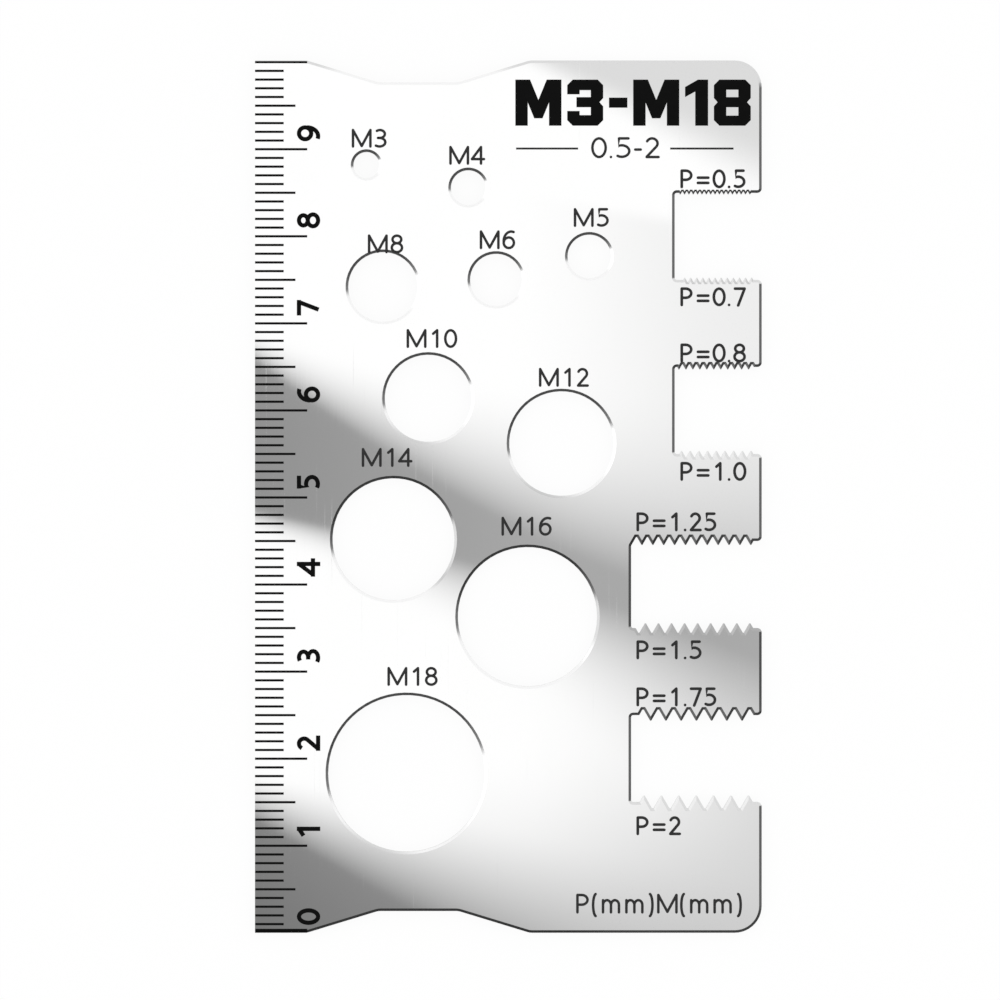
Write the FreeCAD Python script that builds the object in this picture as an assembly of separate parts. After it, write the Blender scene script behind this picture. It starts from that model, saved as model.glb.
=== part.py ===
# Thread pitch gauge: one flat card of polished stainless steel.
# The left edge is a 100 mm ruler, the ten round holes size screws by diameter, and the four
# notches in the right edge carry toothed combs that size screw threads by pitch.
# X runs across the card, Y along the ruler, Z out of the marked face. The origin is the centre
# of the underside. All sizes are in millimetres.
import FreeCAD, Part
import math
import os
from collections import namedtuple

# Card
card_width = 58.2
card_length = 100.2
card_thickness = 1.2
corner_radius = 3.1
edge_break_width = 0.3
edge_break_height = 0.1

# Finger recesses, one in each end of the card, placed from the left edge
recess_centre = 18.75
recess_mouth_width = 25.6
recess_floor_width = 9.2
recess_depth = 2.5
recess_corner_radius = 2.0

# Comb notches in the right edge, placed from the zero end of the ruler
notch_height = 10.0
notch_spacing = 20.0
first_notch_start = 15.0
deep_notch_depth = 15.0
shallow_notch_depth = 10.0
notch_inner_radius = 0.25
notch_mouth_radius = 0.5

# Comb teeth: 60 degree profile, crests and roots cut to a narrow flat. A comb fills its side of
# the notch, up to the shortest straight ledge that may stay before the rounded mouth.
flank_angle = 60.0
flat_share_of_pitch = 1 / 12
tooth_break_share_of_pitch = 0.36
mouth_ledge = 0.35

# Each comb: pitch, distance from the notch's inner wall to the first crest, and whether the row
# begins, and ends, with a root instead of a crest
Comb = namedtuple("Comb", "pitch first_crest begins_with_root ends_with_root")
Notch = namedtuple("Notch", "depth lower upper")

NOTCHES = [
    Notch(deep_notch_depth, Comb(2.0, 1.5, False, False), Comb(1.75, 2.25, True, True)),
    Notch(deep_notch_depth, Comb(1.5, 1.65, True, False), Comb(1.25, 1.25, True, False)),
    Notch(shallow_notch_depth, Comb(1.0, 0.8, False, False), Comb(0.8, 0.5, False, True)),
    Notch(shallow_notch_depth, Comb(0.7, 1.15, False, False), Comb(0.5, 0.65, False, False)),
]

# Sizing holes: diameter, and centre from the left edge and from the zero end of the ruler
Hole = namedtuple("Hole", "diameter from_left from_zero")

HOLES = [
    Hole(3.0, 12.8, 88.2),
    Hole(4.0, 24.5, 85.6),
    Hole(5.0, 38.4, 77.7),
    Hole(6.0, 27.7, 75.0),
    Hole(8.0, 14.7, 74.2),
    Hole(10.0, 19.9, 61.4),
    Hole(12.0, 35.2, 56.2),
    Hole(14.0, 15.9, 45.2),
    Hole(16.0, 31.3, 36.3),
    Hole(18.0, 17.4, 18.3),
]

# Ruler: grooves etched square to the left edge and filled a little below the face. This edge is
# ground square, without an edge break, so that the lines reach it.
graduation_step = 1.0
graduation_width = 0.27
groove_depth = 0.08
fill_below_face = 0.02
centimetre_line_length = 6.0
half_centimetre_line_length = 4.65
millimetre_line_length = 3.3
steps_per_half_centimetre = 5
steps_per_centimetre = 10

# Spare length by which a cutting tool runs past what it cuts
overrun = 1.0

left = -card_width / 2
right = card_width / 2
zero_end = -card_length / 2
far_end = card_length / 2

# A corner of a flat outline: place, radius, and how far the outline's next side steps back from
# the cut wall at the card's two faces. A bend is what the outline does there at one height.
Corner = namedtuple("Corner", "x y radius step")
Bend = namedtuple("Bend", "start end centre angle")


def recess_corners(end, into_card):
    """Corners of a finger recess from left to right; into_card is +1 or -1 along Y."""
    centre = left + recess_centre
    floor = end + into_card * recess_depth
    return [
        Corner(centre - recess_mouth_width / 2, end, recess_corner_radius, edge_break_width),
        Corner(centre - recess_floor_width / 2, floor, recess_corner_radius, edge_break_width),
        Corner(centre + recess_floor_width / 2, floor, recess_corner_radius, edge_break_width),
        Corner(centre + recess_mouth_width / 2, end, recess_corner_radius, edge_break_width),
    ]


def crest_height(comb):
    """Height of the flat crests, and depth of the flat roots, from the comb's middle line."""
    return comb.pitch * (1 - 2 * flat_share_of_pitch) / (4 * math.tan(math.radians(flank_angle / 2)))


def tooth_break(comb):
    """Width of the edge break along the teeth, which a fine pitch has no room for in full."""
    return min(edge_break_width, tooth_break_share_of_pitch * comb.pitch)


def crest_places(comb, wall):
    """Places of a comb's crests along X, as many as the notch has room for."""
    last_flank = right - notch_mouth_radius - mouth_ledge
    if comb.ends_with_root:
        last_flank -= comb.pitch / 2
    first = wall + comb.first_crest
    gaps = math.floor((last_flank - comb.pitch / 4 - first) / comb.pitch)
    return [first + i * comb.pitch for i in range(gaps + 1)]


def comb_start(comb, wall, line, into_notch, first_flank):
    """Corners from the notch's inner wall to where a comb's first flank meets the comb's line.

    They have a straight ledge between them, unless a first root leaves no room for one. Then the
    root's flank runs on into the wall.
    """
    step = tooth_break(comb)
    ledge = first_flank - wall
    steepness = 1 / math.tan(math.radians(flank_angle / 2))
    if comb.begins_with_root and ledge < notch_inner_radius + edge_break_width / steepness:
        return [Corner(wall, line + into_notch * ledge * steepness, notch_inner_radius, step)]
    inner = Corner(wall, line, notch_inner_radius, edge_break_width)
    return [inner, Corner(first_flank, line, 0.0, step)]


def comb_corners(comb, wall, line, into_notch):
    """Corners of a comb from the notch's inner wall outwards; into_notch is +1 or -1 along Y.

    Crests come to a point here and are trimmed flat afterwards. Roots are flat already.
    """
    pitch = comb.pitch
    point = line + into_notch * pitch / (4 * math.tan(math.radians(flank_angle / 2)))
    root = line - into_notch * crest_height(comb)
    half_flat = pitch * flat_share_of_pitch / 2
    step = tooth_break(comb)
    crests = crest_places(comb, wall)
    roots = [x + pitch / 2 for x in crests[:-1]]
    first = crests[0]
    last = crests[-1]
    if comb.begins_with_root:
        first -= pitch / 2
        roots.append(first)
    if comb.ends_with_root:
        last += pitch / 2
        roots.append(last)
    corners = [Corner(x, point, 0.0, step) for x in crests]
    for x in roots:
        corners.append(Corner(x - half_flat, root, 0.0, step))
        corners.append(Corner(x + half_flat, root, 0.0, step))
    corners.sort(key=lambda corner: corner.x)
    start = comb_start(comb, wall, line, into_notch, first - pitch / 4)
    end = Corner(last + pitch / 4, line, 0.0, edge_break_width)
    return start + corners + [end]


def backwards(corners):
    """The same corners the other way round, each side keeping its own step."""
    turned = corners[::-1]
    steps = [corner.step for corner in turned[1:]] + [edge_break_width]
    return [corner._replace(step=step) for corner, step in zip(turned, steps)]


def notch_corners(notch, start):
    """Corners of a notch, from the lower corner of its mouth round to the upper one."""
    wall = right - notch.depth
    end = start + notch_height
    lower = comb_corners(notch.lower, wall, start, 1)
    upper = comb_corners(notch.upper, wall, end, -1)
    return (
        [Corner(right, start, notch_mouth_radius, edge_break_width)]
        + backwards(lower)
        + upper
        + [Corner(right, end, notch_mouth_radius, edge_break_width)]
    )


def notch_starts():
    return [zero_end + first_notch_start + i * notch_spacing for i in range(len(NOTCHES))]


def card_corners():
    """Corners of the whole card, anticlockwise from the zero end of the ruler."""
    corners = [Corner(left, zero_end, 0.0, edge_break_width)]
    corners += recess_corners(zero_end, 1)
    corners.append(Corner(right, zero_end, corner_radius, edge_break_width))
    for notch, start in zip(NOTCHES, notch_starts()):
        corners += notch_corners(notch, start)
    corners.append(Corner(right, far_end, corner_radius, edge_break_width))
    corners += recess_corners(far_end, -1)[::-1]
    corners.append(Corner(left, far_end, 0.0, 0.0))
    return corners


def side_direction(a, b):
    length = math.hypot(b.x - a.x, b.y - a.y)
    return (b.x - a.x) / length, (b.y - a.y) / length


def stepped_back(corners):
    """The outline with each side moved into the card by its step, as it lies on a face."""
    moved = []
    for i, corner in enumerate(corners):
        before = corners[i - 1]
        after = corners[(i + 1) % len(corners)]
        ux, uy = side_direction(before, corner)
        vx, vy = side_direction(corner, after)
        turn = ux * vy - uy * vx
        along = (before.step * (ux * vx + uy * vy) - corner.step) / turn
        x = corner.x - before.step * uy + ux * along
        y = corner.y + before.step * ux + uy * along
        radius = 0.0
        if corner.radius > 0:
            radius = corner.radius - math.copysign(corner.step, turn)
        moved.append(Corner(x, y, radius, corner.step))
    return moved


def outline_bends(corners, z):
    """Where the outline's bend at each corner starts and ends at height z, and what it turns about."""
    bends = []
    for i, corner in enumerate(corners):
        ux, uy = side_direction(corners[i - 1], corner)
        vx, vy = side_direction(corner, corners[(i + 1) % len(corners)])
        angle = math.atan2(ux * vy - uy * vx, ux * vx + uy * vy)
        reach = corner.radius * math.tan(abs(angle) / 2)
        start = FreeCAD.Vector(corner.x - ux * reach, corner.y - uy * reach, z)
        end = FreeCAD.Vector(corner.x + vx * reach, corner.y + vy * reach, z)
        to_centre = FreeCAD.Vector(-uy, ux, 0) * math.copysign(corner.radius, angle)
        bends.append(Bend(start, end, start + to_centre, math.degrees(angle)))
    return bends


def is_round(bend):
    return bend.start.distanceToPoint(bend.end) > 0


def card_face(bends):
    """One flat face of the card, bounded by the outline's straight sides and bends."""
    edges = []
    for i, bend in enumerate(bends):
        if is_round(bend):
            start = Part.Vertex(bend.start)
            edges += start.revolve(bend.centre, FreeCAD.Vector(0, 0, 1), bend.angle).Edges
        edges.append(Part.makeLine(bend.end, bends[(i + 1) % len(bends)].start))
    return Part.Face(Part.Wire(edges))


def edge_band(lower, upper):
    """Faces of the card's edge between two outlines, one above the other."""
    faces = []
    for i, (low, high) in enumerate(zip(lower, upper)):
        after = (i + 1) % len(lower)
        side = [low.end, lower[after].start, upper[after].start, high.end, low.end]
        faces.append(Part.Face(Part.makePolygon(side)))
        if is_round(low):
            rise = Part.makeLine(low.start, high.start)
            faces += rise.revolve(low.centre, FreeCAD.Vector(0, 0, 1), low.angle).Faces
    return faces


def card_blank():
    """The card with its cut walls and with the edge break along the whole outline."""
    corners = card_corners()
    face_corners = stepped_back(corners)
    levels = [
        outline_bends(face_corners, 0.0),
        outline_bends(corners, edge_break_height),
        outline_bends(corners, card_thickness - edge_break_height),
        outline_bends(face_corners, card_thickness),
    ]
    faces = [card_face(levels[0]), card_face(levels[-1])]
    for lower, upper in zip(levels, levels[1:]):
        faces += edge_band(lower, upper)
    shell = Part.makeShell(faces)
    shell.sewShape()
    return Part.makeSolid(shell)


def crest_trimmer(notch, start):
    """The space between a notch's two rows of flat crests."""
    low = start + crest_height(notch.lower)
    high = start + notch_height - crest_height(notch.upper)
    return Part.makeBox(
        notch.depth - notch_inner_radius + overrun,
        high - low,
        card_thickness + 2 * overrun,
        FreeCAD.Vector(right - notch.depth + notch_inner_radius, low, -overrun),
    )


def hole_tool(hole):
    """A sizing hole at its nominal diameter, flared by the edge break at both faces."""
    x = left + hole.from_left
    y = zero_end + hole.from_zero
    radius = hole.diameter / 2
    flared_radius = radius + edge_break_width * (1 + overrun / edge_break_height)
    profile = Part.makePolygon([
        FreeCAD.Vector(x, y, -overrun),
        FreeCAD.Vector(x + flared_radius, y, -overrun),
        FreeCAD.Vector(x + radius, y, edge_break_height),
        FreeCAD.Vector(x + radius, y, card_thickness - edge_break_height),
        FreeCAD.Vector(x + flared_radius, y, card_thickness + overrun),
        FreeCAD.Vector(x, y, card_thickness + overrun),
        FreeCAD.Vector(x, y, -overrun),
    ])
    return Part.Face(profile).revolve(FreeCAD.Vector(x, y, 0), FreeCAD.Vector(0, 0, 1), 360)


def graduation_places(wanted):
    """Places along the ruler of every wanted step, leaving out the card's own two ends."""
    steps = round(card_length / graduation_step)
    return [zero_end + step * graduation_step for step in range(1, steps) if wanted(step)]


def ruler_lines(wanted, start, length, top):
    """One bar per wanted ruler step, from start to the line's end and from the groove's floor up."""
    bar = Part.makeBox(
        left + length - start,
        graduation_width,
        top - (card_thickness - groove_depth),
        FreeCAD.Vector(start, -graduation_width / 2, card_thickness - groove_depth),
    )
    return [bar.translated(FreeCAD.Vector(0, y, 0)) for y in graduation_places(wanted)]


def is_centimetre(step):
    return step % steps_per_centimetre == 0


def is_half_centimetre(step):
    return step % steps_per_half_centimetre == 0 and not is_centimetre(step)


def is_millimetre(step):
    return step % steps_per_half_centimetre != 0


LINE_GROUPS = [
    ("centimetre_line_fill", is_centimetre, centimetre_line_length),
    ("half_centimetre_line_fill", is_half_centimetre, half_centimetre_line_length),
    ("millimetre_line_fill", is_millimetre, millimetre_line_length),
]


def cut_card():
    """The card with holes and trimmed crests, before the ruler is etched."""
    tools = [hole_tool(hole) for hole in HOLES]
    tools += [crest_trimmer(notch, start) for notch, start in zip(NOTCHES, notch_starts())]
    return card_blank().cut(tools)


def etched_card(card):
    """The card with every ruler groove."""
    grooves = []
    for _, wanted, length in LINE_GROUPS:
        grooves += ruler_lines(wanted, left - overrun, length, card_thickness + overrun)
    return card.cut(grooves)


def line_fill(wanted, length):
    """The fill of one group of ruler lines, flush with the card's left edge."""
    return Part.makeCompound(ruler_lines(wanted, left, length, card_thickness - fill_below_face))


def export(node, shape):
    solids = shape.Solids
    volume = sum(solid.Volume for solid in solids)
    print(node, "solids", len(solids), "volume", round(volume, 3), "valid", shape.isValid())
    shape.exportStep("parts/" + node + ".step")


def main():
    os.makedirs("parts", exist_ok=True)
    export("gauge_plate", etched_card(cut_card()).Solids[0])
    for node, wanted, length in LINE_GROUPS:
        export(node, line_fill(wanted, length))


main()
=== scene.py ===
import bpy
import math
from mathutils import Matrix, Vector


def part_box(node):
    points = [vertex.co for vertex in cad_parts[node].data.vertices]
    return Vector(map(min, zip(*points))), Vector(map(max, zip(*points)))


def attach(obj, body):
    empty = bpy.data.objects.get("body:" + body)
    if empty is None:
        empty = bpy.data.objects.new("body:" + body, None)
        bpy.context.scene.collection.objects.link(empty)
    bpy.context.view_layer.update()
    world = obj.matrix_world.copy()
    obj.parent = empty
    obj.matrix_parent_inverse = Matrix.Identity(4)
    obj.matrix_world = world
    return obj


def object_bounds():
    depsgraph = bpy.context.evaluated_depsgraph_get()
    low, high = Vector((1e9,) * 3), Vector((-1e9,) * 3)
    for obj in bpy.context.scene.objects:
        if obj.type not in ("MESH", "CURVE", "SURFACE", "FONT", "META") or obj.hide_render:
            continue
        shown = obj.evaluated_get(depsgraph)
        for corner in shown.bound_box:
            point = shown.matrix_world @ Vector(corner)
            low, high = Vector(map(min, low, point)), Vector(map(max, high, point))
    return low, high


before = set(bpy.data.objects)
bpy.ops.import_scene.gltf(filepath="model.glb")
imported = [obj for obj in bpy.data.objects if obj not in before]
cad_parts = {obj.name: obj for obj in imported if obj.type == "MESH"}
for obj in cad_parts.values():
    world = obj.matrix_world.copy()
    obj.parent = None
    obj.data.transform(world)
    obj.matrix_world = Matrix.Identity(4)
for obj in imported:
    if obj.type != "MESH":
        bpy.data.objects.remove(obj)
cad_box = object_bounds()


# The card: one sheet of stainless steel, blanked and pierced, then buffed to a mirror on both
# faces. The buffing leaves faint lines along the card, hairline scratches and hand smudges. The
# cut walls stay duller, and tumbling has rolled their corners.

MM = 0.001
card_left = cad_box[0].x
card_zero_end = cad_box[0].y
card_thickness = cad_box[1].z


class Signal:
    """One output of a shader node, so that shader maths reads as Python arithmetic."""

    def __init__(self, shader, socket):
        self.shader = shader
        self.socket = socket

    def math(self, operation, *operands):
        return self.shader.node("ShaderNodeMath", {"operation": operation}, dict(enumerate(operands)))

    def __add__(self, other):
        return self.math("ADD", self, other)

    def __sub__(self, other):
        return self.math("SUBTRACT", self, other)

    def __rsub__(self, other):
        return self.math("SUBTRACT", other, self)

    def __mul__(self, other):
        return self.math("MULTIPLY", self, other)

    def __truediv__(self, other):
        return self.math("DIVIDE", self, other)

    def __pow__(self, other):
        return self.math("POWER", self, other)

    def __abs__(self):
        return self.math("ABSOLUTE", self)

    def at_least(self, other):
        return self.math("MAXIMUM", self, other)

    def at_most(self, other):
        return self.math("MINIMUM", self, other)

    __radd__ = __add__
    __rmul__ = __mul__


class Shader:
    """The nodes of one material, or of the world."""

    def __init__(self, owner):
        owner.use_nodes = True
        self.tree = owner.node_tree
        self.tree.nodes.clear()

    def node(self, kind, settings=None, inputs=None, output=0):
        made = self.tree.nodes.new(kind)
        for name, value in (settings or {}).items():
            setattr(made, name, value)
        for name, value in (inputs or {}).items():
            if isinstance(value, Signal):
                self.tree.links.new(value.socket, made.inputs[name])
            else:
                made.inputs[name].default_value = value
        return Signal(self, made.outputs[output])

    def place(self, turn=(0.0, 0.0, 0.0), scale=(1.0, 1.0, 1.0)):
        """Object coordinates, turned and stretched."""
        coordinates = self.node("ShaderNodeTexCoord", output="Object")
        mapping = {"Vector": coordinates, "Rotation": turn, "Scale": scale}
        return self.node("ShaderNodeMapping", inputs=mapping)

    def split(self, vector):
        """The X, Y and Z of a vector."""
        inputs = {"Vector": vector}
        return [self.node("ShaderNodeSeparateXYZ", inputs=inputs, output=axis) for axis in "XYZ"]

    def noise(self, place, detail=2.0):
        """Noise from 0 to 1, with one blotch per unit of the place given."""
        return self.node("ShaderNodeTexNoise", inputs={"Vector": place, "Scale": 1.0, "Detail": detail})

    def fade(self, value, start, end):
        """A smooth step from 0 at start to 1 at end."""
        return self.node(
            "ShaderNodeMapRange",
            {"interpolation_type": "SMOOTHSTEP"},
            {"Value": value, "From Min": start, "From Max": end},
        )

    def mix(self, factor, first, second):
        """A colour between two colours, which go into the node's sockets 6 and 7."""
        return self.node(
            "ShaderNodeMix",
            {"data_type": "RGBA"},
            {"Factor": factor, 6: first, 7: second},
            output=2,
        )

    def bump(self, height, depth, over=None):
        """A relief of a height from 0 to 1 times a depth, laid over another relief."""
        inputs = {"Height": height, "Distance": depth, "Strength": 1.0}
        if over is not None:
            inputs["Normal"] = over
        return self.node("ShaderNodeBump", inputs=inputs)

    def finish(self, surface):
        is_world = isinstance(self.tree.id_data, bpy.types.World)
        output = self.tree.nodes.new("ShaderNodeOutputWorld" if is_world else "ShaderNodeOutputMaterial")
        self.tree.links.new(surface.socket, output.inputs["Surface"])


def grey(value):
    return (value, value, value, 1.0)


def dress(node, material):
    """Gives a CAD node's mesh its material."""
    mesh = bpy.data.objects[node].data
    mesh.materials.clear()
    mesh.materials.append(material)


polished_steel = bpy.data.materials.new("polished_steel")
steel = Shader(polished_steel)

# The faces lie level, the rolled corners slope and the cut walls stand upright.
normal = steel.node("ShaderNodeTexCoord", output="Normal")
levelness = abs(steel.split(normal)[2])
is_edge = steel.fade(levelness, 0.995, 0.975)
is_wall = steel.fade(levelness, 0.7, 0.4)

buffing_turn = (0.0, 0.0, math.radians(4))
buffing = steel.noise(steel.place(turn=buffing_turn, scale=(5200.0, 70.0, 70.0)), detail=3.0)
smudges = steel.noise(steel.place(scale=(75.0, 55.0, 60.0)), detail=4.0)
waviness = steel.noise(steel.place(scale=(60.0, 45.0, 60.0)), detail=0.0)
wall_grain = steel.noise(steel.place(scale=(3000.0, 3000.0, 300.0)))

# Each set of hairline scratches: its turn in degrees, and its scale along the scratches.
HAIRLINE_SETS = ((25, 60.0), (-48, 75.0), (82, 50.0))
hairlines = 0.0
for degrees, lengthwise in HAIRLINE_SETS:
    hairline_turn = (0.0, 0.0, math.radians(degrees))
    streak = steel.noise(steel.place(turn=hairline_turn, scale=(7000.0, lengthwise, 100.0)), detail=0.0)
    hairlines = steel.fade(streak, 0.80, 0.86) + hairlines
hairlines = hairlines.at_most(1.0)

face_roughness = 0.008 + 0.012 * smudges + 0.008 * buffing + 0.04 * hairlines
edge_roughness = 0.1 + 0.04 * buffing
wall_roughness = 0.26 + 0.2 * wall_grain
roughness = (
    face_roughness * (1 - is_edge)
    + edge_roughness * is_edge * (1 - is_wall)
    + wall_roughness * is_wall
)

# Punching burnishes the corners of the holes and recesses; those of the teeth and ends stay greyer.
# In a belt across the card's middle and round its 0 corner all corners are painted darker: painted shade
# for the light panel's grey bands that they mirror there.
across, along = steel.split(steel.place())[:2]
is_left_of_teeth = steel.fade(across, 13.3 * MM, 12.3 * MM)
is_off_ends = steel.fade(abs(along), 49.6 * MM, 48.6 * MM)
in_mirrored_band_shade = steel.fade(abs(along + 0.387 * across + 5.3 * MM), 9.5 * MM, 6.5 * MM)
in_mirrored_corner_shade = steel.fade(along + 0.395 * across, -44.4 * MM, -47.4 * MM)
has_painted_reflection_shade = in_mirrored_band_shade.at_least(in_mirrored_corner_shade)
tumbled_colour = steel.mix(buffing, grey(0.70), grey(0.76))
burnished_colour = steel.mix(buffing, grey(0.92), grey(0.96))

face_colour = steel.mix(smudges, (0.80, 0.80, 0.797, 1.0), grey(0.82))
edge_colour = steel.mix(is_left_of_teeth * is_off_ends, tumbled_colour, burnished_colour)
# Painted reflection shade: the corners in the belt and round the 0 corner are darkened in their colour.
edge_colour = steel.mix(0.4 * has_painted_reflection_shade, edge_colour, grey(0.0))
wall_colour = steel.mix(wall_grain, grey(0.50), grey(0.64))
colour = steel.mix(is_edge, face_colour, edge_colour)
colour = steel.mix(is_wall, colour, wall_colour)

rolled = steel.bump(waviness, 0.0011 * MM)
buffed = steel.bump(buffing - 0.5 * hairlines, 0.00004 * MM, over=rolled)
cut = steel.bump(wall_grain * is_wall, 0.01 * MM, over=buffed)
steel.finish(
    steel.node(
        "ShaderNodeBsdfPrincipled",
        inputs={"Base Color": colour, "Metallic": 1.0, "Roughness": roughness, "Normal": cut},
    )
)
dress("gauge_plate", polished_steel)


# The ruler's filling: black enamel wiped into the etched lines and baked. It lies a little below
# the face, with a fine satin texture and small differences in how much was wiped away.


def baked_enamel(name, deepest, palest):
    """A satin black enamel, from its grey where it lies deepest to its grey where it is wiped thin."""
    material = bpy.data.materials.new(name)
    enamel = Shader(material)
    pores = enamel.noise(enamel.place(scale=(9000.0, 9000.0, 9000.0)))
    wiping = enamel.noise(enamel.place(scale=(400.0, 900.0, 400.0)))
    enamel.finish(
        enamel.node(
            "ShaderNodeBsdfPrincipled",
            inputs={
                "Base Color": enamel.mix(wiping, grey(deepest), grey(palest)),
                "Roughness": 0.42 + 0.2 * wiping,
                "Specular IOR Level": 0.05,
                "Normal": enamel.bump(pores, 0.001 * MM),
            },
        )
    )
    return material


black_enamel = baked_enamel("black_enamel", 0.002, 0.005)
for node in ("centimetre_line_fill", "half_centimetre_line_fill", "millimetre_line_fill"):
    dress(node, black_enamel)


# The end lines of the ruler, for 0 and 100 mm, in black enamel like the rest and as long as the
# centimetre lines. They fall on the rolled corners of the card's two ends, so each lies on that
# slope, and the one for 0 is heavier and runs on over the face.

edge_break_width = 0.3 * MM
edge_break_height = 0.1 * MM
slope = math.atan2(edge_break_height, edge_break_width)
line_start, line_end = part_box("centimetre_line_fill")
end_line_length = line_end.x - line_start.x
end_line_thickness = 0.02 * MM
end_line_rounding = 0.006 * MM
# Each bar: which end of the card it is at, its distance from that end, its width and its tilt.
BARS = (
    (1, 0.2 * MM, 0.27 * MM, slope),
    (-1, 0.15 * MM, 0.31 * MM, slope),
    (-1, 0.375 * MM, 0.18 * MM, 0.0),
)


def deselect_all():
    bpy.ops.object.select_all(action="DESELECT")


def select_only(piece):
    deselect_all()
    piece.select_set(True)
    bpy.context.view_layer.objects.active = piece


def settle(piece):
    """Applies the piece's place, turn and size to its mesh."""
    select_only(piece)
    bpy.ops.object.transform_apply(location=True, rotation=True, scale=True)


end_bars = []
for end, from_end, width, tilt in BARS:
    deselect_all()
    bpy.ops.mesh.primitive_cube_add(
        size=1.0,
        location=(
            card_left + end_line_length / 2,
            end * (-card_zero_end - from_end),
            card_thickness - edge_break_height * max(0.0, 1 - from_end / edge_break_width),
        ),
        rotation=(-end * tilt, 0.0, 0.0),
    )
    bar = bpy.context.active_object
    bar.scale = (end_line_length, width, end_line_thickness)
    settle(bar)
    bpy.ops.object.mode_set(mode="EDIT")
    bpy.ops.mesh.select_all(action="SELECT")
    bpy.ops.mesh.bevel(offset=end_line_rounding, segments=2)
    bpy.ops.object.mode_set(mode="OBJECT")
    end_bars.append(bar)
deselect_all()
for bar in end_bars:
    bar.select_set(True)
bpy.context.view_layer.objects.active = end_bars[0]
bpy.ops.object.join()
ruler_end_lines = bpy.context.active_object
ruler_end_lines.name = "ruler_end_lines"
ruler_end_lines.data.materials.append(black_enamel)
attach(ruler_end_lines, "root")


# The ruler's numerals, 0 to 9: bold figures with square stroke ends, filled with the same black
# enamel. They stand on their side, with their feet towards the holes, and each lies just above
# its centimetre line.


def arc(x, y, across, up, start, end, steps=14):
    """Points round an ellipse, from one angle to another in degrees."""
    angles = [math.radians(start + (end - start) * i / steps) for i in range(steps + 1)]
    return [(x + across * math.cos(a), y + up * math.sin(a)) for a in angles]


def turned_over(strokes):
    return [[(1 - x, 1 - y) for x, y in stroke] for stroke in strokes]


# Each sign: width of its cell, space before it and its own width, all for a height of 1, then
# the pen's strokes from 0 to 1 across the sign and from its foot to its top. The sign "i" is the
# ruler's 1, which has a longer flag than the labels' 1.
SIX = [arc(0.5, 0.32, 0.5, 0.32, 0, 360, 24), arc(0.74, 0.42, 0.74, 0.58, 180, 72)]
SIGNS = {
    "0": (0.77, 0.045, 0.70, [arc(0.5, 0.5, 0.5, 0.5, 0, 360, 28)]),
    "1": (0.77, 0.18, 0.35, [[(1, 0), (1, 1)], [(1, 1), (0, 0.79)]]),
    "i": (0.77, 0.08, 0.47, [[(1, 0), (1, 1)], [(1, 1), (0, 0.76)]]),
    "2": (0.77, 0.07, 0.64, [arc(0.46, 0.73, 0.46, 0.27, 155, -38) + [(0.03, 0.03)], [(0, 0), (1, 0)]]),
    "3": (0.77, 0.07, 0.62, [
        arc(0.41, 0.76, 0.54, 0.24, 128, -90) + [(0.2, 0.52)],
        [(0.2, 0.52), (0.38, 0.52)] + arc(0.36, 0.26, 0.64, 0.26, 90, -128)[1:],
    ]),
    "4": (0.77, -0.02, 0.77, [[(0.75, 0), (0.75, 1)], [(0.75, 1), (0, 0.27)], [(0, 0.27), (1, 0.27)]]),
    "5": (0.77, 0.08, 0.62, [
        [(0.1, 1), (0.92, 1)],
        [(0.1, 1), (0.07, 0.57)] + arc(0.34, 0.32, 0.66, 0.31, 112, -124),
    ]),
    "6": (0.77, 0.045, 0.675, SIX),
    "7": (0.77, 0.07, 0.65, [[(0, 1), (1, 1)], [(1, 1), (0.33, -0.03)]]),
    "8": (0.77, 0.045, 0.675, [
        arc(0.5, 0.77, 0.43, 0.23, 0, 360, 24),
        arc(0.5, 0.27, 0.5, 0.27, 0, 360, 24),
    ]),
    "9": (0.77, 0.045, 0.675, turned_over(SIX)),
    "M": (1.25, 0.11, 1.05, [
        [(0, 0), (0, 1)],
        [(0, 1), (0.5, 0.03)],
        [(0.5, 0.03), (1, 1)],
        [(1, 1), (1, 0)],
    ]),
    "P": (0.87, 0.10, 0.645, [
        [(0, 0), (0, 1)],
        [(0, 1), (0.42, 1)] + arc(0.42, 0.72, 0.58, 0.28, 90, -90)[1:] + [(0, 0.44)],
    ]),
    "=": (0.86, 0.075, 0.69, [[(0, 0.57), (1, 0.57)], [(0, 0.25), (1, 0.25)]]),
    ".": (0.31, 0.07, 0.15, [[(0.5, 0), (0.5, 0.002)]]),
    "-": (0.50, 0.07, 0.36, [[(0, 0.4), (1, 0.4)]]),
    "(": (0.42, 0.02, 0.29, [arc(1.0, 0.42, 1.0, 0.645, 100, 260)]),
    ")": (0.42, 0.08, 0.29, [arc(0.0, 0.42, 1.0, 0.645, 80, -80)]),
    "m": (1.18, 0.10, 0.94, [
        [(0, 0), (0, 0.7)],
        arc(0.25, 0.42, 0.25, 0.28, 180, 0) + [(0.5, 0)],
        arc(0.75, 0.42, 0.25, 0.28, 180, 0) + [(1, 0)],
    ]),
}


def is_closed(stroke):
    return (stroke[0] - stroke[-1]).length < 0.0001


def rounded_ends(stroke, half_pen):
    """The stroke's points with their share of the pen's width, and a half circle at both ends."""
    first, second, last, before = stroke[0], stroke[1], stroke[-1], stroke[-2]
    points = [(point, 1.0) for point in stroke]
    for degrees in (30, 60, 84):
        reach = half_pen * math.sin(math.radians(degrees))
        share = math.cos(math.radians(degrees))
        points.insert(0, (first + (first - second).normalized() * reach, share))
        points.append((last + (last - before).normalized() * reach, share))
    return points


def square_ends(stroke, half_pen):
    """The stroke's points at full width; level and upright strokes run on to fill their corners."""
    if len(stroke) == 2:
        along = (stroke[1] - stroke[0]).normalized()
        if max(abs(along.x), abs(along.y)) > 0.999:
            stroke = [stroke[0] - along * half_pen, stroke[1] + along * half_pen]
    return [(point, 1.0) for point in stroke]


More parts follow.
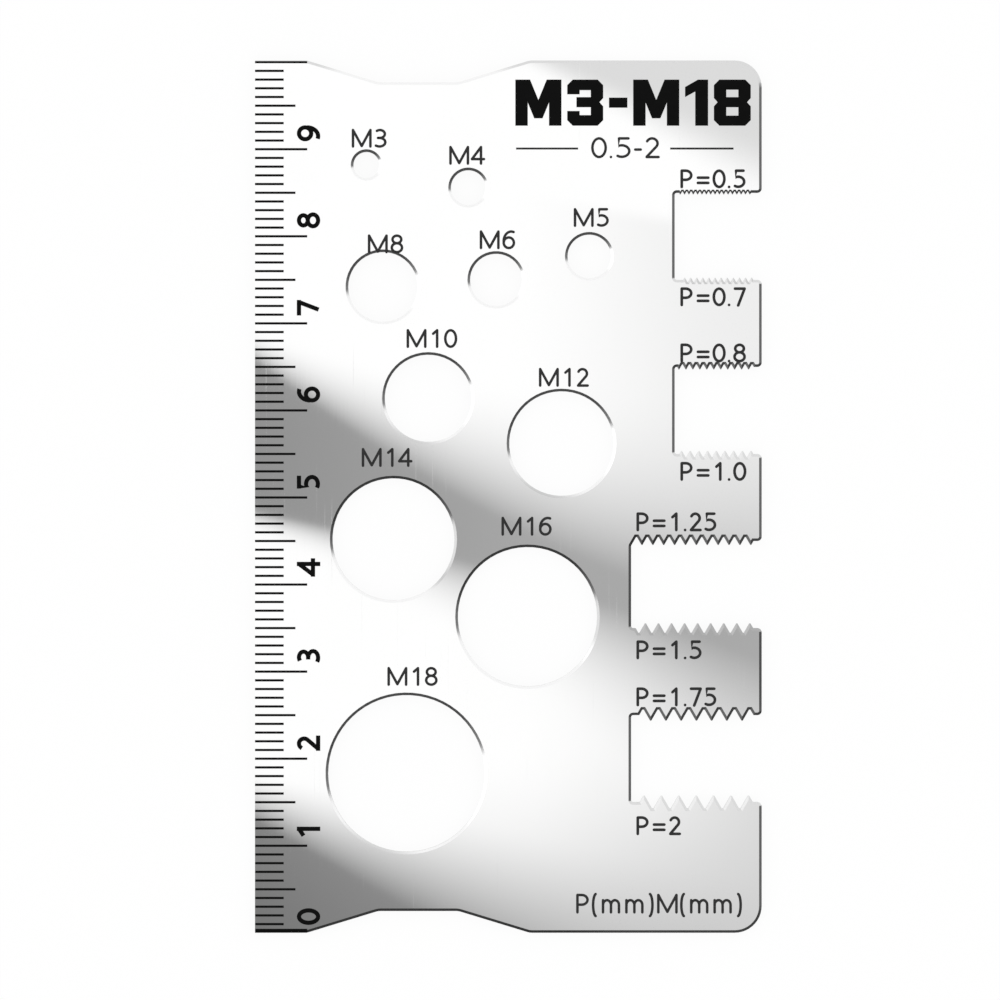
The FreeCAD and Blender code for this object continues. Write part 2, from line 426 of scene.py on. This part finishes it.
def written(words, height, pen, stretch=1.0, upward=False):
    """The strokes of some words, each placed by its first sign's left foot, in millimetres."""
    strokes = []
    for text, x, y in words:
        cursor = -SIGNS[text[0]][1] * height * stretch
        for sign in text:
            cell, space, width, lines = SIGNS[sign]
            start = cursor + space * height * stretch
            across = width * height * stretch - pen
            for line in lines:
                flat = [(start + pen / 2 + across * u, pen / 2 + (height - pen) * v) for u, v in line]
                if upward:
                    flat = [(-v, u) for u, v in flat]
                strokes.append([Vector((x + u, y + v)) for u, v in flat])
            cursor += cell * height * stretch
    return strokes


# All marks are drawn in millimetres from the card's 0 corner, and stand this far above its face.
enamel_rise = 0.012


def laid_on_face(name, path, height_scale, enamel):
    """A flat curve drawn in millimetres, made into a mesh of enamel on the marked face."""
    piece = bpy.data.objects.new(name, path)
    bpy.context.collection.objects.link(piece)
    select_only(piece)
    bpy.ops.object.convert(target="MESH")
    piece.location = (card_left, card_zero_end, card_thickness)
    piece.scale = (MM, MM, MM * height_scale)
    settle(piece)
    bpy.ops.object.shade_smooth_by_angle(angle=math.radians(50))
    piece.data.materials.append(enamel)
    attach(piece, "root")


def marking(name, strokes, pen, ends, enamel):
    """Strokes of a pen in enamel; the strokes are in millimetres."""
    path = bpy.data.curves.new(name, "CURVE")
    path.dimensions = "3D"
    path.twist_mode = "Z_UP"
    path.bevel_depth = pen / 2
    path.bevel_resolution = 2
    path.use_fill_caps = True
    for stroke in strokes:
        line = path.splines.new("POLY")
        line.use_cyclic_u = is_closed(stroke)
        points = [(point, 1.0) for point in stroke[:-1]] if line.use_cyclic_u else ends(stroke, pen / 2)
        line.points.add(len(points) - 1)
        for point, (place, share) in zip(line.points, points):
            point.co = (place.x, place.y, 0.0, 1.0)
            point.radius = share
    laid_on_face(name, path, enamel_rise / (pen / 2), enamel)


numeral_height = 2.7
numeral_pen = 0.5
numeral_foot = 7.5
numeral_above_line = 0.9
centimetre = 10.0
numerals = [
    (sign, numeral_foot, centimetre * i + numeral_above_line) for i, sign in enumerate("0i23456789")
]
marking(
    "ruler_numerals",
    written(numerals, numeral_height, numeral_pen, stretch=1.02, upward=True),
    numeral_pen,
    square_ends,
    black_enamel,
)


# The size written over each round hole: the screw diameter that passes it, in thin round-ended
# strokes. In strokes this fine the enamel lies thinner, so it is dark grey.

thin_enamel = baked_enamel("thin_enamel", 0.024, 0.034)
label_height = 2.2
label_pen = 0.31
# Each label: its words, and the place of its first sign's left foot.
hole_sizes = [
    ("M3", 11.1, 90.16),
    ("M4", 22.3, 88.2),
    ("M5", 36.6, 81.06),
    ("M6", 25.8, 78.5),
    ("M8", 12.95, 78.03),
    ("M10", 17.4, 67.16),
    ("M12", 32.6, 62.7),
    ("M14", 12.25, 53.5),
    ("M16", 28.3, 45.6),
    ("M18", 15.2, 28.35),
]
sizes = written(hole_sizes, label_height, label_pen)
marking("hole_size_labels", sizes, label_pen, rounded_ends, thin_enamel)


# The pitch written beside each comb: the distance from thread to thread that its teeth fit. It is
# in the same hand and enamel as the hole sizes, but with a slightly broader pen.

pitch_pen = 0.33
comb_pitches = [
    ("P=0.5", 48.85, 85.5),
    ("P=0.7", 48.85, 71.95),
    ("P=0.8", 48.85, 65.5),
    ("P=1.0", 48.85, 51.9),
    ("P=1.25", 43.8, 46.1),
    ("P=1.5", 43.8, 31.4),
    ("P=1.75", 43.8, 26.0),
    ("P=2", 43.8, 11.2),
]
pitches = written(comb_pitches, label_height, pitch_pen)
marking("comb_pitch_labels", pitches, pitch_pen, rounded_ends, thin_enamel)


# The heading in the top right corner: the range of screws in heavy block letters with chamfered
# corners, and under it the range of pitches between two thin rules.

# Each block letter: its width for a height of 1, then its outline and the outlines of its gaps.
BLOCK_M = [
    (0, 0), (0, 1), (0.32, 1), (0.5, 0.56), (0.68, 1), (1, 1), (1, 0), (0.73, 0),
    (0.73, 0.5), (0.59, 0.16), (0.41, 0.16), (0.27, 0.5), (0.27, 0),
]
BLOCK_THREE = [
    (0, 0.68), (0, 0.88), (0.12, 1), (0.66, 1), (0.78, 0.88), (0.78, 0.6), (0.7, 0.51), (0.78, 0.42),
    (0.78, 0.12), (0.66, 0), (0.12, 0), (0, 0.12), (0, 0.32), (0.27, 0.32), (0.27, 0.23), (0.51, 0.23),
    (0.51, 0.4), (0.2, 0.4), (0.2, 0.62), (0.51, 0.62), (0.51, 0.77), (0.27, 0.77), (0.27, 0.68),
]
BLOCK_EIGHT = [
    (0.12, 0), (0.68, 0), (0.8, 0.12), (0.8, 0.42), (0.72, 0.51), (0.8, 0.6), (0.8, 0.88), (0.68, 1),
    (0.12, 1), (0, 0.88), (0, 0.6), (0.08, 0.51), (0, 0.42), (0, 0.12),
]
BLOCKS = {
    "M": (1.0, [BLOCK_M]),
    "3": (0.78, [BLOCK_THREE]),
    "-": (0.4, [[(0, 0.39), (0.4, 0.39), (0.4, 0.61), (0, 0.61)]]),
    "1": (0.5, [[(0.22, 0), (0.5, 0), (0.5, 1), (0.28, 1), (0, 0.84), (0, 0.62), (0.22, 0.74)]]),
    "8": (0.8, [
        BLOCK_EIGHT,
        [(0.27, 0.22), (0.53, 0.22), (0.53, 0.4), (0.27, 0.4)],
        [(0.27, 0.62), (0.53, 0.62), (0.53, 0.78), (0.27, 0.78)],
    ]),
}
heading_height = 5.3
heading_gap = 0.66
heading_left = 29.9
heading_foot = 92.7

heading_path = bpy.data.curves.new("heading_range", "CURVE")
heading_path.dimensions = "2D"
heading_path.fill_mode = "BOTH"
heading_path.extrude = enamel_rise
cursor = heading_left
for sign in "M3-M18":
    width, outlines = BLOCKS[sign]
    for outline in outlines:
        line = heading_path.splines.new("POLY")
        line.use_cyclic_u = True
        line.points.add(len(outline) - 1)
        for point, (u, v) in zip(line.points, outline):
            point.co = (cursor + heading_height * u, heading_foot + heading_height * v, 0.0, 1.0)
    cursor += heading_height * width + heading_gap
laid_on_face("heading_range", heading_path, 1.0, black_enamel)

pitch_range_height = 2.45
pitch_range = written([("0.5-2", 38.6, 88.95)], pitch_range_height, label_pen, stretch=1.07)
marking("heading_pitches", pitch_range, label_pen, rounded_ends, thin_enamel)

rule_pen = 0.23
rule_place = 90.08
rule_spans = ((30.1, 37.0), (47.8, 54.85))
rules = [[Vector((start, rule_place)), Vector((end, rule_place))] for start, end in rule_spans]
marking("heading_rules", rules, rule_pen, square_ends, thin_enamel)


# The key in the bottom right corner, saying that pitch and diameter are in millimetres. It is
# written like the hole sizes, a little taller.

key_height = 2.3
key = written([("P(mm)M(mm)", 36.88, 2.2)], key_height, label_pen, stretch=0.99)
marking("unit_key", key, label_pen, rounded_ends, thin_enamel)


# The table top under the card: plain, pale and matt. It looks white from the camera and in the
# steel, and keeps a faint shadow of the card.

table_size = 6.0
gap_under_card = 0.05 * MM

deselect_all()
bpy.ops.mesh.primitive_plane_add(size=table_size, location=(0.0, 0.0, -gap_under_card))
table_top = bpy.context.active_object
table_top.name = "table_top"
settle(table_top)
pale_board = bpy.data.materials.new("pale_board")
board = Shader(pale_board)


def seen_directly(shader):
    """1 where the eye, a mirror or glass sees the surface, and 0 where it lights others."""
    rays = [
        shader.node("ShaderNodeLightPath", output=ray)
        for ray in ("Is Camera Ray", "Is Glossy Ray", "Is Transmission Ray")
    ]
    return rays[0].at_least(rays[1]).at_least(rays[2])


whiteness = 0.92
matt = board.node("ShaderNodeBsdfDiffuse", inputs={"Color": grey(0.9)})
white = board.node("ShaderNodeEmission", inputs={"Color": grey(1.0), "Strength": 1.0})
board.finish(
    board.node("ShaderNodeMixShader", inputs={0: whiteness * seen_directly(board), 1: matt, 2: white})
)
table_top.data.materials.append(pale_board)


# The light panel over the table: a large white diffuser that the polished card mirrors. Two grey
# bands cross it, and one corner, its foot and its right side are shaded, which gives the steel its
# soft diagonal reflections.

eye_height = 1.0
eye = Vector((-0.96, -0.388)) * MM
panel_height = 1.3
panel_size = 0.8

deselect_all()
bpy.ops.mesh.primitive_plane_add(size=panel_size, location=(0.0, 0.0, panel_height))
light_panel = bpy.context.active_object
light_panel.name = "light_panel"
settle(light_panel)
graded_light = bpy.data.materials.new("graded_light")
light = Shader(graded_light)

# A point of the card mirrors the point of the panel that lies this much further out.
spread = 1 + panel_height / eye_height
on_panel = light.node("ShaderNodeTexCoord", output="Object")
mirrored_x, mirrored_y = [
    (axis / MM + centre / MM * (spread - 1)) / spread for axis, centre in zip(light.split(on_panel), eye)
]
# Past what the card mirrors, the shading stays as it is at the rim.
x = mirrored_x.at_least(-34.0).at_most(34.0)
y = mirrored_y.at_least(-56.0).at_most(56.0)


def inside(depth, softness, crease):
    """0 outside an edge and 1 inside it, from a soft start to a crease; in millimetres of card."""
    return (depth / softness + 0.5).at_least(0.0).at_most(1.0) ** crease


lower_softness = (13.2 + 0.52 * x + 0.0057 * x * x).at_least(1.5)
over_lower_edge = inside(y + 15.4 + 0.553 * x + 0.0045 * x * x, lower_softness, 2.66)
upper_softness = (16.1 + 0.431 * x).at_least(1.5)
under_upper_edge = inside(5.06 - 0.294 * x + 0.0044 * x * x - y, upper_softness, 1.94)
middle_band = over_lower_edge * under_upper_edge
low_band = inside(-45.9 - 0.395 * x - y, (15.95 + 0.361 * x).at_least(2.0), 1.38)
corner_shade = light.fade((y - 51.5 + 0.4815 * x) / (1.98 + 0.2335 * x).at_least(1.5), -0.5, 0.5)
foot_shade = light.fade(-40.2 + 0.112 * x - y, -11.5, 11.5)
side_shade = light.fade(x, -1.5, 29.9) * light.fade(34.8 - 0.167 * x - y, -1.0, 1.0)

panel_strength = 1.235
grading = (
    (1 - (0.625 - 0.0032 * x) * middle_band)
    * (1 - (0.635 - 0.0046 * x) * low_band)
    * (1 - 0.29 * corner_shade)
    * (1 - 0.238 * foot_shade)
    * (1 - 0.146 * side_shade)
)
light.finish(light.node("ShaderNodeEmission", inputs={"Color": grading, "Strength": panel_strength}))
light_panel.data.materials.append(graded_light)


# The room: white all round. In the polished steel it is grey and uneven low down and brightest
# on the left, and a dark hanging beyond the card's 0 end shows in the card's rolled corners as
# thin dark lines.

room = bpy.data.worlds.new("room")
bpy.context.scene.world = room
air = Shader(room)
direction = air.node("ShaderNodeTexCoord", output="Generated")
east, north, height = air.split(direction)
level = (east * east + north * north + 0.0001) ** 0.5


def towards(bearing):
    """Cosine of the angle between the direction looked in and a bearing in degrees."""
    angle = math.radians(bearing)
    return (east * math.cos(angle) + north * math.sin(angle)) / level


furnishings = air.noise(
    air.node("ShaderNodeMapping", inputs={"Vector": direction, "Scale": (15.0, 15.0, 20.0)}), detail=1.0
)
low_down = 1 - air.fade(height, 0.62, 0.76)
unevenness = (0.25 + 0.5 * air.fade(furnishings, 0.62, 0.38)) * low_down
bright_side = 0.98 + 0.35 * air.fade(towards(178), 0.75, 1.0)
to_hanging = towards(-74.5)
hanging_rows = air.fade(height, 0.38, 0.48) * air.fade(height, 0.93, 0.87)
hanging = air.fade(to_hanging, -0.045, 0.155) * hanging_rows
hanging_darkness = 0.83 + 0.11 * air.fade(to_hanging, 0.25, 0.6)
mirrored_room = bright_side * (1 - unevenness) * (1 - hanging_darkness * hanging)
room_light = 1.12
is_glossy = air.node("ShaderNodeLightPath", output="Is Glossy Ray")
is_seen = seen_directly(air)
room_strength = is_seen * (1 - is_glossy) + is_glossy * mirrored_room + (1 - is_seen) * room_light
air.finish(air.node("ShaderNodeBackground", inputs={"Color": grey(1.0), "Strength": room_strength}))


# The camera looks straight down on the card, from far enough off that the walls of the holes
# hardly show. The picture's width is measured on the card's marked face.

picture_width = 114.856 * MM
camera = bpy.data.cameras.new("camera")
camera.sensor_width = 36.0
camera.lens = camera.sensor_width * eye_height / picture_width
camera.clip_start = 0.05
camera_object = bpy.data.objects.new("camera", camera)
bpy.context.collection.objects.link(camera_object)
camera_object.location = (eye.x, eye.y, card_thickness + eye_height)
bpy.context.scene.camera = camera_object

bpy.context.scene.view_settings.view_transform = "Standard"
